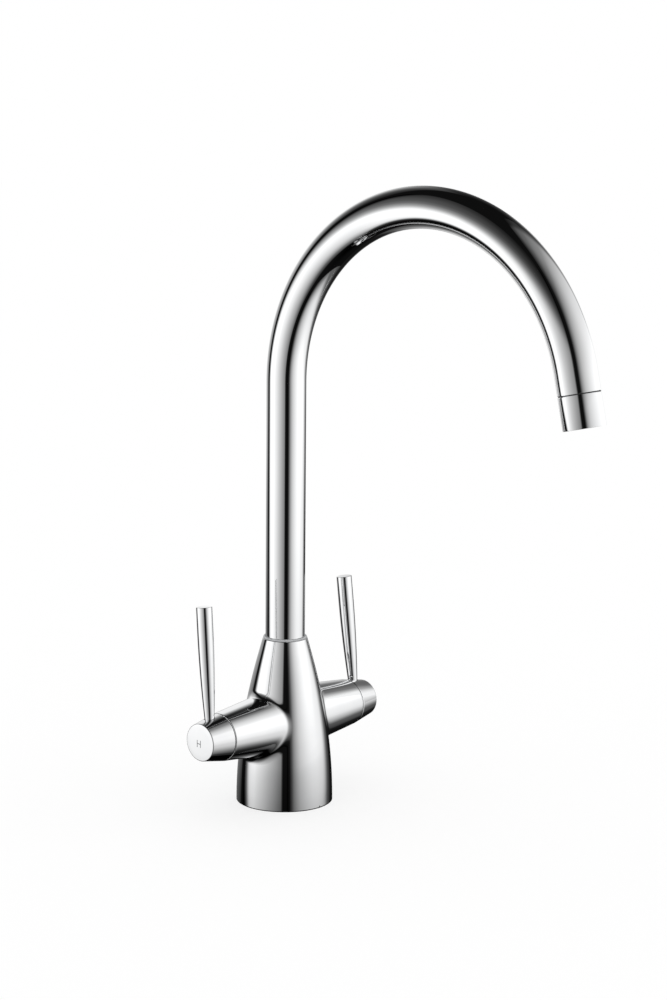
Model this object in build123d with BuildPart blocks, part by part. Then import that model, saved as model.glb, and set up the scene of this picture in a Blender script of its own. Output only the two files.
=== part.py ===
from build123d import *
from math import cos, hypot, radians, sin, sqrt, tan
import os

os.makedirs("parts", exist_ok=True)

# Deck-mounted twin-lever kitchen mixer tap with a swan-neck swivel spout, in millimetres.
# The origin is the centre of the base on the deck and +Z is up. The spout reaches towards -Y,
# the hot handle is on -X and the cold handle on +X.

# Clearances
running_gap = 0.05
thread_gap = 0.05
seat_gap = 0.1
braze_gap = 0.03
edge_break = 0.3
seam_break = 0.5

# Spout tube
tube_radius = 11.0
tube_wall = 1.0
bend_start_height = 237.0
bend_radius = 99.0
bend_angle = 167.0
tail_length = 10.5

# Body casting
base_radius = 27.0
body_height = 93.2
cone_slope = 15.4
cone_length = 9.0
rim_gap = 0.25
rim_wall = 1.1
rim_round = 0.25

# Arms
arm_height = 46.0
arm_reach = 52.0
arm_end_radius = 13.1
arm_taper = 6.2
arm_blend_radius = 5.0

# Underside of the body
gasket_inner_radius = 24.0
gasket_width = 2.0
gasket_thickness = 1.6
recess_radius = 23.0
recess_depth = 2.0
cavity_depth = 20.0
inlet_offset = 10.0
inlet_thread_radius = 4.5
inlet_thread_length = 12.0
inlet_boss_radius = 8.5
stud_offset = 16.0
stud_thread_radius = 2.5
stud_thread_length = 16.0
stud_boss_radius = 5.0
waterway_radius = 3.5
mixing_radius = 3.0
drill_overrun = 1.0

# Spout bearing in the neck
neck_bore_depth = 16.0
neck_ring_height = 1.1
neck_ring_inset = 0.1
neck_ring_round = 0.6
spout_washer_thickness = 1.0
foot_flange_thickness = 1.5
foot_spigot_length = 12.0
foot_radius = 8.5
foot_bore_radius = 5.5
foot_length = 13.0
foot_ring_spacing = 8.0
chamber_height = 9.5
ring_section = 1.5
ring_gap = 0.02
ring_sides = 8
ring_groove_width = 2.0
spout_screw_radius = 2.45
spout_screw_length = 7.5
spout_screw_socket = 2.5
dog_radius = 1.4
dog_length = 1.7
dog_gap = 0.3

# Valve in each arm
pocket_depth = 30.0
bonnet_radius = 9.5
bonnet_collar_radius = 10.4
bonnet_collar_length = 6.5
bonnet_recess = 1.5
bonnet_skirt_wall = 1.5
bonnet_ring_inset = 3.0
bonnet_slot_width = 2.5
bonnet_slot_depth = 1.0
seal_thickness = 3.0
seal_bore_radius = 4.5
skirt_overlap = 1.0
disc_thickness = 3.0
disc_gap = 0.1
port_inner_radius = 2.5
port_outer_radius = 6.0
port_sweep = 80.0
ear_width = 3.0
drive_flange_thickness = 5.0
drive_bar_width = 3.0
drive_bar_height = 1.5
stop_lug_height = 2.5
stop_lug_inner_radius = 5.6
stop_lug_width = 1.8
stop_lug_sweep = 40.0
stop_slack = 2.0
quarter_turn = 90.0
spindle_radius = 5.0
spindle_ring_spacing = 4.0
valve_washer_thickness = 0.5
valve_washer_width = 2.9
clip_thickness = 0.8
clip_depth = 0.8
clip_width = 3.0
clip_opening = 60.0
spline_teeth = 20
spline_root_radius = 3.6
spline_tooth_height = 0.4
spline_tooth_width = 0.6
spline_length = 9.5

# Handles
hub_gap = 0.4
hub_length = 14.6
hub_face_radius = 10.3
hub_recess_radius = 9.0
hub_recess_depth = 2.0
lever_inset = 6.5
lever_lean = 5.5
lever_tilt = 1.7
lever_reach = 73.0
lever_top_radius = 4.4
lever_foot_radius = 2.65
lever_taper_length = 50.0
lever_seat_radius = 10.6
lever_seat_gap = 0.3
lever_stud_radius = 2.0
lever_stud_length = 5.4
grub_radius = 2.0
grub_length = 5.5
grub_socket = 2.0
grub_socket_depth = 2.0

# Aerator
seam_gap = 0.5
aerator_length = 17.0
nipple_depth = 10.0
nipple_thread_radius = 9.2
nipple_thread_length = 8.5
nipple_bore_radius = 8.0
aerator_washer_thickness = 1.5
aerator_washer_bore = 6.5
plate_thickness = 1.2
plate_hole_radius = 0.6
plate_hole_count = 12
insert_thickness = 4.0
insert_radius = 8.5
insert_rim = 0.6
cell_pitch = 2.5
cell_wall = 0.45
outlet_lip = 0.9
outlet_recess = 1.2

# Levels that follow from the sizes above
tube_bore = tube_radius - tube_wall
neck_bore_radius = tube_radius + rim_gap
neck_radius = neck_bore_radius + rim_wall
washer_seat = body_height - neck_bore_depth
flange_level = washer_seat + spout_washer_thickness + running_gap
tube_foot_level = flange_level + foot_flange_thickness
foot_bottom = washer_seat - foot_length
foot_middle = washer_seat - foot_length / 2
socket_radius = foot_radius + running_gap
socket_floor = foot_bottom - chamber_height
gland_depth = ring_section + 2 * ring_gap
screw_groove_radius = socket_radius - dog_length
dog_tip = screw_groove_radius + dog_gap

# Distances from the tap's axis along an arm
pocket_floor = arm_reach - pocket_depth
pocket_radius = bonnet_radius + seat_gap
collar_bore_radius = bonnet_collar_radius + thread_gap
bonnet_face = arm_reach - bonnet_recess
collar_seat = bonnet_face - bonnet_collar_length
fixed_disc_start = pocket_floor + seal_thickness
skirt_start = fixed_disc_start - skirt_overlap
moving_disc_start = fixed_disc_start + disc_thickness
flange_start = moving_disc_start + disc_thickness
flange_end = flange_start + drive_flange_thickness
chamber_radius = bonnet_radius - bonnet_skirt_wall
chamber_end = flange_end + seat_gap
disc_radius = chamber_radius - disc_gap
lug_end = flange_end + stop_lug_height
lug_groove_end = lug_end + seat_gap
lug_outer_radius = stop_lug_inner_radius + stop_lug_width
spindle_bore_radius = spindle_radius + running_gap
spindle_ring_middle = (lug_groove_end + bonnet_face) / 2
bonnet_ring_place = collar_seat - bonnet_ring_inset
clip_start = bonnet_face + valve_washer_thickness + running_gap
clip_end = clip_start + clip_thickness
clip_groove_radius = spindle_radius - clip_depth
shank_end = clip_end + clip_thickness
spindle_tip = shank_end + spline_length
hub_start = arm_reach + hub_gap
hub_end = hub_start + hub_length
lever_place = hub_start + lever_inset
spline_crest_radius = spline_root_radius + spline_tooth_height
port_place = moving_disc_start + disc_thickness / 2
mixing_target = pocket_radius - mixing_radius / 2

lever_back = Vector(0, cos(radians(lever_lean)), -sin(radians(lever_lean)))
sides = (("hot", -1), ("cold", 1))


def arm_axis(side):
    """Axis of an arm, from the tap's axis outwards."""
    return Axis((0, 0, arm_height), (side, 0, 0))


def arm_profile(side):
    """Plane for turned pieces of an arm: x runs outwards along the arm, y is the radius."""
    return Plane(origin=(0, 0, arm_height), x_dir=(side, 0, 0), z_dir=(0, -side, 0))


def arm_section(side, distance):
    """Plane across an arm: x is up and y is forwards, so an opening lever turns from x to y."""
    return Plane(origin=(side * distance, 0, arm_height), x_dir=(0, 0, 1), z_dir=(1, 0, 0))


def arm_face(side, distance):
    """Plane across an arm that faces outwards, for rings and holes."""
    return Plane(origin=(side * distance, 0, arm_height), x_dir=(0, 0, 1), z_dir=(side, 0, 0))


def lever_direction(side):
    """Direction of a lever from the arm's axis: up, leaning back and tilted a little inwards."""
    upright = Vector(0, sin(radians(lever_lean)), cos(radians(lever_lean)))
    inwards = Vector(-side, 0, 0)
    return upright * cos(radians(lever_tilt)) + inwards * sin(radians(lever_tilt))


def lever_face(side, distance, sign=1):
    """Plane across the lever's axis at a distance from the arm's axis, facing away from it."""
    outwards = lever_direction(side) * sign
    origin = Vector(side * lever_place, 0, arm_height) + outwards * distance
    return Plane(origin=origin, x_dir=lever_back, z_dir=outwards)


def sector(inner, outer, start, sweep, mode=Mode.ADD):
    """Ring sector between two radii, from a start angle through a sweep."""
    with BuildLine() as outline:
        near = CenterArc((0, 0), inner, start, sweep)
        far = CenterArc((0, 0), outer, start, sweep)
        Line(near @ 0, far @ 0)
        Line(near @ 1, far @ 1)
    make_face(outline.edges(), mode=mode)


def spline_outline(gap):
    """Toothed outline of the spindle's end, or with a gap the hub's bore for it."""
    Circle(spline_root_radius + gap)
    with PolarLocations(spline_root_radius, spline_teeth):
        Rectangle(2 * (spline_tooth_height + gap), spline_tooth_width + 2 * gap)


# Body: a bullet of revolution with two coned arms, cored for the valves, the spout and the water.
cone_foot_radius = neck_radius + cone_length * tan(radians(cone_slope))
cone_foot_height = body_height - cone_length
arm_root_radius = arm_end_radius + arm_reach * tan(radians(arm_taper))
mixing_start = Vector(0, 0, (socket_floor + foot_bottom) / 2)

with BuildPart() as body:
    with BuildSketch(Plane.YZ):
        with BuildLine():
            Line((0, 0), (base_radius, 0))
            Spline(
                (base_radius, 0),
                (cone_foot_radius, cone_foot_height),
                tangents=((0, 1), (-sin(radians(cone_slope)), cos(radians(cone_slope)))),
            )
            Line((cone_foot_radius, cone_foot_height), (neck_radius, body_height))
            Line((neck_radius, body_height), (0, body_height))
            Line((0, body_height), (0, 0))
        make_face()
    revolve(axis=Axis.Z)
    with BuildSketch(Plane.XY.offset(arm_height)):
        Polygon(
            (-arm_reach, 0),
            (-arm_reach, arm_end_radius),
            (0, arm_root_radius),
            (arm_reach, arm_end_radius),
            (arm_reach, 0),
            align=None,
        )
    revolve(axis=arm_axis(1))
    fillet(body.edges(Select.NEW), radius=arm_blend_radius)
    fillet(body.faces().sort_by(Axis.Z)[-1].edges(), radius=rim_round)
    for arm_end in (body.faces().sort_by(Axis.X)[0], body.faces().sort_by(Axis.X)[-1]):
        chamfer(arm_end.edges(), length=seam_break)
    with Locations((0, 0, body_height)):
        CounterBoreHole(
            radius=socket_radius,
            counter_bore_radius=neck_bore_radius,
            counter_bore_depth=neck_bore_depth,
            depth=body_height - socket_floor,
        )
    with Locations(Plane(origin=(0, base_radius, foot_middle), z_dir=(0, 1, 0))):
        Hole(radius=spout_screw_radius + thread_gap, depth=base_radius)
    for _, side in sides:
        with Locations(arm_face(side, arm_reach)):
            CounterBoreHole(
                radius=pocket_radius,
                counter_bore_radius=collar_bore_radius,
                counter_bore_depth=arm_reach - collar_seat,
                depth=pocket_depth,
            )
        with Locations(arm_face(side, pocket_floor)):
            Hole(radius=waterway_radius, depth=pocket_floor - inlet_offset + drill_overrun)
        mixing_end = Vector(side * port_place, 0, arm_height + mixing_target)
        mixing_run = mixing_end - mixing_start
        with BuildSketch(Plane(origin=mixing_start, z_dir=mixing_run)):
            Circle(mixing_radius)
        extrude(amount=mixing_run.length, mode=Mode.SUBTRACT)
    with BuildSketch(Plane.XY):
        Circle(gasket_inner_radius + gasket_width)
        Circle(gasket_inner_radius, mode=Mode.SUBTRACT)
    extrude(amount=gasket_thickness, mode=Mode.SUBTRACT)
    with BuildSketch(Plane.XY):
        Circle(recess_radius)
    extrude(amount=recess_depth, mode=Mode.SUBTRACT)
    with BuildSketch(Plane.XY):
        Circle(recess_radius)
        SlotCenterToCenter(2 * inlet_offset, 2 * inlet_boss_radius, mode=Mode.SUBTRACT)
        with Locations((0, stud_offset), (0, -stud_offset)):
            Circle(stud_boss_radius, mode=Mode.SUBTRACT)
    extrude(amount=cavity_depth, mode=Mode.SUBTRACT)
    for _, side in sides:
        with Locations(Plane(origin=(side * inlet_offset, 0, recess_depth), z_dir=(0, 0, -1))):
            CounterBoreHole(
                radius=waterway_radius,
                counter_bore_radius=inlet_thread_radius,
                counter_bore_depth=inlet_thread_length,
                depth=arm_height - recess_depth + drill_overrun,
            )
        with Locations(Plane(origin=(0, side * stud_offset, recess_depth), z_dir=(0, 0, -1))):
            Hole(radius=stud_thread_radius, depth=stud_thread_length)
body.part.label = "body"
export_step(body.part, "parts/body.step")

# Base gasket: flat rubber ring in the groove of the underside, flush with the deck.
with BuildPart() as base_gasket:
    with BuildSketch(Plane.XY):
        Circle(gasket_inner_radius + gasket_width - seat_gap)
        Circle(gasket_inner_radius + seat_gap, mode=Mode.SUBTRACT)
    extrude(amount=gasket_thickness)
base_gasket.part.label = "base_gasket"
export_step(base_gasket.part, "parts/base_gasket.step")

# Neck ring: plastic bearing ring on the neck's rim, close round the riser.
with BuildPart() as neck_ring:
    with BuildSketch(Plane.XY.offset(body_height)):
        Circle(neck_radius - neck_ring_inset)
        Circle(tube_radius + running_gap, mode=Mode.SUBTRACT)
    extrude(amount=neck_ring_height)
    ring_top = neck_ring.faces().sort_by(Axis.Z)[-1]
    fillet(ring_top.edges().sort_by(SortBy.LENGTH)[-1], radius=neck_ring_round)
neck_ring.part.label = "neck_ring"
export_step(neck_ring.part, "parts/neck_ring.step")

# Spout washer: plastic slip washer on the socket's step, which carries the spout's weight.
with BuildPart() as spout_washer:
    with BuildSketch(Plane.XY.offset(washer_seat)):
        Circle(neck_bore_radius - seat_gap)
        Circle(socket_radius + seat_gap, mode=Mode.SUBTRACT)
    extrude(amount=spout_washer_thickness)
spout_washer.part.label = "spout_washer"
export_step(spout_washer.part, "parts/spout_washer.step")

# Spout screw: set screw in the back of the neck whose dog point runs in the foot's groove.
with BuildPart() as spout_screw:
    with BuildSketch(Plane(origin=(0, dog_tip, foot_middle), z_dir=(0, 1, 0))):
        Circle(dog_radius)
    extrude(amount=dog_length)
    with BuildSketch(Plane(origin=(0, dog_tip + dog_length, foot_middle), z_dir=(0, 1, 0))):
        Circle(spout_screw_radius)
    extrude(amount=spout_screw_length)
    screw_end = spout_screw.faces().sort_by(Axis.Y)[-1]
    chamfer(screw_end.edges(), length=edge_break)
    with BuildSketch(spout_screw.faces().sort_by(Axis.Y)[-1]):
        RegularPolygon(spout_screw_socket / 2, 6, major_radius=False)
    extrude(amount=-spout_screw_socket, mode=Mode.SUBTRACT)
spout_screw.part.label = "spout_screw"
export_step(spout_screw.part, "parts/spout_screw.step")

# Spout tube: straight riser, one large bend and a short straight tail, in one plane.
spout_plane = Plane(origin=(0, 0, 0), x_dir=(0, -1, 0), z_dir=(-1, 0, 0))
with BuildPart() as spout_tube:
    with BuildLine(spout_plane):
        riser = Line((0, tube_foot_level), (0, bend_start_height))
        bend = JernArc(riser @ 1, riser % 1, bend_radius, -bend_angle)
        tail = Line(bend @ 1, (bend @ 1) + (bend % 1) * tail_length)
    with BuildSketch(Plane.XY.offset(tube_foot_level)):
        Circle(tube_radius)
        Circle(tube_bore, mode=Mode.SUBTRACT)
    sweep()
spout_tube.part.label = "spout_tube"
export_step(spout_tube.part, "parts/spout_tube.step")

# Spout foot: turned brass, brazed into the tube, with a ring groove above and below the screw's.
with BuildPart() as spout_foot:
    with BuildSketch(Plane.XZ):
        Polygon(
            (foot_bore_radius, foot_bottom),
            (foot_radius, foot_bottom),
            (foot_radius, flange_level),
            (tube_radius - seat_gap, flange_level),
            (tube_radius - seat_gap, tube_foot_level),
            (tube_bore - braze_gap, tube_foot_level),
            (tube_bore - braze_gap, tube_foot_level + foot_spigot_length),
            (foot_bore_radius, tube_foot_level + foot_spigot_length),
            align=None,
        )
        with Locations((socket_radius, foot_middle)):
            Rectangle(2 * dog_length, 2 * (dog_radius + dog_gap), mode=Mode.SUBTRACT)
            with Locations((0, foot_ring_spacing / 2), (0, -foot_ring_spacing / 2)):
                Rectangle(2 * gland_depth, ring_groove_width, mode=Mode.SUBTRACT)
    revolve(axis=Axis.Z)
spout_foot.part.label = "spout_foot"
export_step(spout_foot.part, "parts/spout_foot.step")

# Spout rings: the two O-rings of the foot.
with BuildPart() as spout_rings:
    with BuildSketch(Plane.XZ):
        with Locations(
            (socket_radius - gland_depth / 2, foot_middle - foot_ring_spacing / 2),
            (socket_radius - gland_depth / 2, foot_middle + foot_ring_spacing / 2),
        ):
            RegularPolygon(ring_section / 2, ring_sides)
    revolve(axis=Axis.Z)
spout_rings.part.label = "spout_rings"
export_step(spout_rings.part, "parts/spout_rings.step")

# Places along the outlet, measured from the end of the tube in the direction of the water.
outlet = tail @ 1
outlet_direction = tail % 1
outlet_profile = Plane(
    origin=outlet, x_dir=(1, 0, 0), z_dir=Vector(1, 0, 0).cross(outlet_direction)
)
outlet_face = Plane(origin=outlet, x_dir=(1, 0, 0), z_dir=outlet_direction)
outlet_axis = Axis(outlet, outlet_direction)
aerator_end = seam_gap + aerator_length
insert_end = aerator_end - outlet_recess
insert_start = insert_end - insert_thickness
plate_start = insert_start - plate_thickness
washer_start = plate_start - aerator_washer_thickness
insert_bore_radius = insert_radius + seat_gap

# Outlet nipple: brazed into the end of the tube, with the thread that carries the aerator.
with BuildPart() as outlet_nipple:
    with BuildSketch(outlet_profile):
        Polygon(
            (nipple_bore_radius, -nipple_depth),
            (tube_bore - braze_gap, -nipple_depth),
            (tube_bore - braze_gap, 0),
            (nipple_thread_radius, 0),
            (nipple_thread_radius, nipple_thread_length),
            (nipple_bore_radius, nipple_thread_length),
            align=None,
        )
    revolve(axis=outlet_axis)
outlet_nipple.part.label = "outlet_nipple"
export_step(outlet_nipple.part, "parts/outlet_nipple.step")

# Seam ring: flat rubber gasket between the end of the tube and the aerator.
with BuildPart() as seam_ring:
    with BuildSketch(outlet_face):
        Circle(tube_radius - edge_break)
        Circle(nipple_thread_radius + seat_gap, mode=Mode.SUBTRACT)
    extrude(amount=seam_gap)
seam_ring.part.label = "seam_ring"
export_step(seam_ring.part, "parts/seam_ring.step")

# Aerator housing: a sleeve of the tube's own diameter with a lip that holds the insert.
with BuildPart() as aerator_housing:
    with BuildSketch(outlet_profile):
        Polygon(
            (nipple_thread_radius + thread_gap, seam_gap),
            (tube_radius, seam_gap),
            (tube_radius, aerator_end),
            (insert_bore_radius - outlet_lip, aerator_end),
            (insert_bore_radius - outlet_lip, insert_end),
            (insert_bore_radius, insert_end),
            (insert_bore_radius, plate_start),
            (nipple_thread_radius + thread_gap, plate_start),
            align=None,
        )
    revolve(axis=outlet_axis)
    chamfer(aerator_housing.edges().filter_by(GeomType.CIRCLE).sort_by(SortBy.LENGTH)[-2:], edge_break)
aerator_housing.part.label = "aerator_housing"
export_step(aerator_housing.part, "parts/aerator_housing.step")

# Aerator washer: rubber ring squeezed between the nipple and the plate.
with BuildPart() as aerator_washer:
    with BuildSketch(outlet_face.offset(washer_start)):
        Circle(nipple_thread_radius - seat_gap)
        Circle(aerator_washer_bore, mode=Mode.SUBTRACT)
    extrude(amount=aerator_washer_thickness)
aerator_washer.part.label = "aerator_washer"
export_step(aerator_washer.part, "parts/aerator_washer.step")

# Aerator plate: breaks the water into jets through a ring of small holes.
with BuildPart() as aerator_plate:
    with BuildSketch(outlet_face.offset(plate_start)):
        Circle(insert_radius)
        with PolarLocations(aerator_washer_bore - 2 * plate_hole_radius, plate_hole_count):
            Circle(plate_hole_radius, mode=Mode.SUBTRACT)
    extrude(amount=plate_thickness)
aerator_plate.part.label = "aerator_plate"
export_step(aerator_plate.part, "parts/aerator_plate.step")

# Aerator insert: honeycomb of hexagonal cells that straightens the stream.
cell_radius = (cell_pitch - cell_wall) / sqrt(3)
cell_limit = insert_bore_radius - outlet_lip - insert_rim - cell_radius
cell_reach = int(2 * insert_radius / cell_pitch)
cell_rows = range(-cell_reach, cell_reach + 1)
cell_centres = [
    (cell_pitch * (column + row / 2), cell_pitch * row * sqrt(3) / 2)
    for row in cell_rows
    for column in cell_rows
]
with BuildPart() as aerator_insert:
    with BuildSketch(outlet_face.offset(insert_start)):
        Circle(insert_radius)
        with Locations([centre for centre in cell_centres if hypot(*centre) < cell_limit]):
            RegularPolygon(cell_radius, 6, rotation=30, mode=Mode.SUBTRACT)
    extrude(amount=insert_thickness)
aerator_insert.part.label = "aerator_insert"
export_step(aerator_insert.part, "parts/aerator_insert.step")

# The two valves and handles are alike, mirrored across the tap.
for side_name, side in sides:
    # Seat seal: rubber sleeve between the pocket's floor and the fixed disc.
    with BuildPart() as seat_seal:
        with BuildSketch(arm_profile(side)):
            Polygon(
                (pocket_floor, seal_bore_radius),
                (pocket_floor, disc_radius - seat_gap),
                (fixed_disc_start, disc_radius - seat_gap),
                (fixed_disc_start, seal_bore_radius),
                align=None,
            )
        revolve(axis=arm_axis(side))
    seat_seal.part.label = f"{side_name}_seat_seal"
    export_step(seat_seal.part, f"parts/{side_name}_seat_seal.step")

    # Fixed disc: ceramic, with two ports and two ears that keep it from turning.
    with BuildPart() as fixed_disc:
        with BuildSketch(arm_section(side, fixed_disc_start)):
            Circle(disc_radius)
            Rectangle(ear_width, 2 * (bonnet_radius - seat_gap))
            for start in (-port_sweep / 2, 180 - port_sweep / 2):
                sector(port_inner_radius, port_outer_radius, start, port_sweep, Mode.SUBTRACT)
        extrude(amount=side * disc_thickness)
    fixed_disc.part.label = f"{side_name}_fixed_disc"
    export_step(fixed_disc.part, f"parts/{side_name}_fixed_disc.step")

    # Moving disc: ceramic, with two ports a quarter turn away and a slot for the drive bar.
    with BuildPart() as moving_disc:
        with BuildSketch(arm_section(side, moving_disc_start)):
            Circle(disc_radius - disc_gap)
            for start in (90 - port_sweep / 2, 270 - port_sweep / 2):
                sector(port_inner_radius, port_outer_radius, start, port_sweep, Mode.SUBTRACT)
        extrude(amount=side * disc_thickness)
        with BuildSketch(arm_section(side, flange_start)):
            Rectangle(2 * disc_radius, drive_bar_width + 2 * running_gap)
        extrude(amount=-side * (drive_bar_height + running_gap), mode=Mode.SUBTRACT)
    moving_disc.part.label = f"{side_name}_moving_disc"
    export_step(moving_disc.part, f"parts/{side_name}_moving_disc.step")

    # Bonnet: turned brass valve head, screwed into the arm, with water windows in its skirt.
    with BuildPart() as bonnet:
        with BuildSketch(arm_profile(side)):
            Polygon(
                (skirt_start, chamber_radius),
                (skirt_start, bonnet_radius),
                (collar_seat, bonnet_radius),
                (collar_seat, bonnet_collar_radius),
                (bonnet_face, bonnet_collar_radius),
                (bonnet_face, spindle_bore_radius),
                (chamber_end, spindle_bore_radius),
                (chamber_end, chamber_radius),
                align=None,
            )
            with Locations((bonnet_ring_place, pocket_radius)):
                Rectangle(ring_groove_width, 2 * gland_depth, mode=Mode.SUBTRACT)
        revolve(axis=arm_axis(side))
        with BuildSketch(arm_section(side, skirt_start)):
            Rectangle(ear_width + 2 * seat_gap, 2 * pocket_radius)
        extrude(amount=side * (skirt_overlap + disc_thickness), mode=Mode.SUBTRACT)
        with BuildSketch(arm_section(side, moving_disc_start)):
            Rectangle(2 * pocket_radius, chamber_radius)
        extrude(amount=side * 2 * disc_thickness, mode=Mode.SUBTRACT)
        with BuildSketch(arm_section(side, chamber_end)):
            sector(
                stop_lug_inner_radius - seat_gap,
                lug_outer_radius + seat_gap,
                -stop_lug_sweep / 2 - stop_slack,
                quarter_turn + stop_lug_sweep + 2 * stop_slack,
            )
        extrude(amount=side * (lug_groove_end - chamber_end), mode=Mode.SUBTRACT)
        with BuildSketch(arm_section(side, bonnet_face)):
            Rectangle(2 * bonnet_collar_radius, bonnet_slot_width)
        extrude(amount=-side * bonnet_slot_depth, mode=Mode.SUBTRACT)
    bonnet.part.label = f"{side_name}_bonnet"
    export_step(bonnet.part, f"parts/{side_name}_bonnet.step")

    # Bonnet ring: O-ring that seals the bonnet in the arm.
    with BuildPart() as bonnet_ring:
        with BuildSketch(arm_profile(side)):
            with Locations((bonnet_ring_place, pocket_radius - gland_depth / 2)):
                RegularPolygon(ring_section / 2, ring_sides)
        revolve(axis=arm_axis(side))
    bonnet_ring.part.label = f"{side_name}_bonnet_ring"
    export_step(bonnet_ring.part, f"parts/{side_name}_bonnet_ring.step")

    # Valve washer: plastic slip washer between the bonnet and the spindle's clip.
    with BuildPart() as valve_washer:
        with BuildSketch(arm_section(side, bonnet_face)):
            Circle(spindle_bore_radius + valve_washer_width)
            Circle(spindle_bore_radius, mode=Mode.SUBTRACT)
        extrude(amount=side * valve_washer_thickness)
    valve_washer.part.label = f"{side_name}_valve_washer"
    export_step(valve_washer.part, f"parts/{side_name}_valve_washer.step")

    # Spindle: turned brass with a drive bar, a stop lug, two ring grooves and a splined end.
    with BuildPart() as spindle:
        with BuildSketch(arm_profile(side)):
            Polygon(
                (flange_start, 0),
                (flange_start, disc_radius - disc_gap),
                (flange_end, disc_radius - disc_gap),
                (flange_end, spindle_radius),
                (shank_end, spindle_radius),
                (shank_end, 0),
                align=None,
            )
            with Locations(
                (spindle_ring_middle - spindle_ring_spacing / 2, spindle_bore_radius),
                (spindle_ring_middle + spindle_ring_spacing / 2, spindle_bore_radius),
            ):
                Rectangle(ring_groove_width, 2 * gland_depth, mode=Mode.SUBTRACT)
            with Locations(((clip_start + clip_end) / 2, spindle_radius)):
                Rectangle(clip_thickness, 2 * clip_depth, mode=Mode.SUBTRACT)
        revolve(axis=arm_axis(side))
        with BuildSketch(arm_section(side, flange_start)):
            Rectangle(2 * (port_outer_radius - disc_gap), drive_bar_width)
        extrude(amount=-side * drive_bar_height)
        with BuildSketch(arm_section(side, flange_end)):
            sector(
                stop_lug_inner_radius,
                lug_outer_radius,
                -stop_lug_sweep / 2,
                stop_lug_sweep,
            )
        extrude(amount=side * stop_lug_height)
        with BuildSketch(arm_section(side, shank_end)):
            spline_outline(0)
        extrude(amount=side * spline_length)
    spindle.part.label = f"{side_name}_spindle"
    export_step(spindle.part, f"parts/{side_name}_spindle.step")

    # Spindle rings: the two O-rings of the spindle.
    with BuildPart() as spindle_rings:
        with BuildSketch(arm_profile(side)):
            with Locations(
                (spindle_ring_middle - spindle_ring_spacing / 2, spindle_bore_radius - gland_depth / 2),
                (spindle_ring_middle + spindle_ring_spacing / 2, spindle_bore_radius - gland_depth / 2),
            ):
                RegularPolygon(ring_section / 2, ring_sides)
        revolve(axis=arm_axis(side))
    spindle_rings.part.label = f"{side_name}_spindle_rings"
    export_step(spindle_rings.part, f"parts/{side_name}_spindle_rings.step")

    # Spindle clip: open spring ring in the spindle's groove.
    with BuildPart() as spindle_clip:
        with BuildSketch(arm_section(side, clip_start)):
            sector(
                clip_groove_radius + running_gap,
                clip_groove_radius + clip_width,
                clip_opening / 2,
                360 - clip_opening,
            )
        extrude(amount=side * clip_thickness)
    spindle_clip.part.label = f"{side_name}_spindle_clip"
    export_step(spindle_clip.part, f"parts/{side_name}_spindle_clip.step")

    # Hub: cone with a splined bore, a seat for the lever and a grub screw hole below.
    with BuildPart() as hub:
        with BuildSketch(arm_profile(side)):
            Polygon(
                (hub_start, 0),
                (hub_start, arm_end_radius),
                (hub_end, hub_face_radius),
                (hub_end, 0),
                align=None,
            )
        revolve(axis=arm_axis(side))
        hub_rims = hub.edges().filter_by(GeomType.CIRCLE).sort_by(SortBy.RADIUS)
        chamfer(hub_rims[0], length=edge_break)
        fillet(hub_rims[-1], radius=seam_break)
        with Locations(arm_face(side, hub_start)):
            CounterBoreHole(
                radius=spline_root_radius,
                counter_bore_radius=hub_recess_radius,
                counter_bore_depth=hub_recess_depth,
                depth=spindle_tip - hub_start + seat_gap,
            )
        with BuildSketch(arm_section(side, hub_start)):
            spline_outline(running_gap)
        extrude(amount=side * (spindle_tip - hub_start + seat_gap), mode=Mode.SUBTRACT)
        with Locations(lever_face(side, arm_end_radius)):
            CounterBoreHole(
                radius=lever_stud_radius + thread_gap,
                counter_bore_radius=lever_foot_radius + lever_seat_gap,
                counter_bore_depth=arm_end_radius - lever_seat_radius,
                depth=arm_end_radius - lever_seat_radius + lever_stud_length + seat_gap,
            )
        with Locations(lever_face(side, arm_end_radius, -1)):
            Hole(radius=grub_radius + thread_gap, depth=arm_end_radius)
    hub.part.label = f"{side_name}_hub"
    export_step(hub.part, f"parts/{side_name}_hub.step")

    # Lever: tapered pin screwed into the hub, swelling to a plain cylinder near its flat end.
    lever_plane = Plane(
        origin=(side * lever_place, 0, arm_height),
        x_dir=lever_back,
        z_dir=lever_back.cross(lever_direction(side)),
    )
    with BuildPart() as lever:
        with BuildSketch(lever_plane):
            with BuildLine():
                taper_end = (lever_top_radius, lever_seat_radius + lever_taper_length)
                Polyline(
                    (lever_foot_radius, lever_seat_radius),
                    (lever_stud_radius, lever_seat_radius),
                    (lever_stud_radius, lever_seat_radius - lever_stud_length),
                    (0, lever_seat_radius - lever_stud_length),
                    (0, lever_reach),
                    (lever_top_radius, lever_reach),
                    taper_end,
                )
                TangentArc(taper_end, (lever_foot_radius, lever_seat_radius), tangent=(0, -1))
            make_face()
        revolve(axis=Axis(lever_plane.origin, lever_direction(side)))
        chamfer(lever.faces().sort_by(Axis.Z)[-1].edges(), length=edge_break)
    lever.part.label = f"{side_name}_lever"
    export_step(lever.part, f"parts/{side_name}_lever.step")

    # Grub screw: set screw below the hub that grips the splined end.
    with BuildPart() as grub_screw:
        with BuildSketch(lever_face(side, spline_crest_radius + seat_gap, -1)):
            Circle(grub_radius)
        extrude(amount=grub_length)
        grub_face = lever_face(side, spline_crest_radius + seat_gap + grub_length, -1)
        with BuildSketch(grub_face):
            RegularPolygon(grub_socket / 2, 6, major_radius=False)
        extrude(amount=-grub_socket_depth, mode=Mode.SUBTRACT)
    grub_screw.part.label = f"{side_name}_grub_screw"
    export_step(grub_screw.part, f"parts/{side_name}_grub_screw.step")
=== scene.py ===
from math import cos, pi, radians, sin, tan

import bmesh
import bpy
import numpy as np
from mathutils import Matrix, Vector


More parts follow.
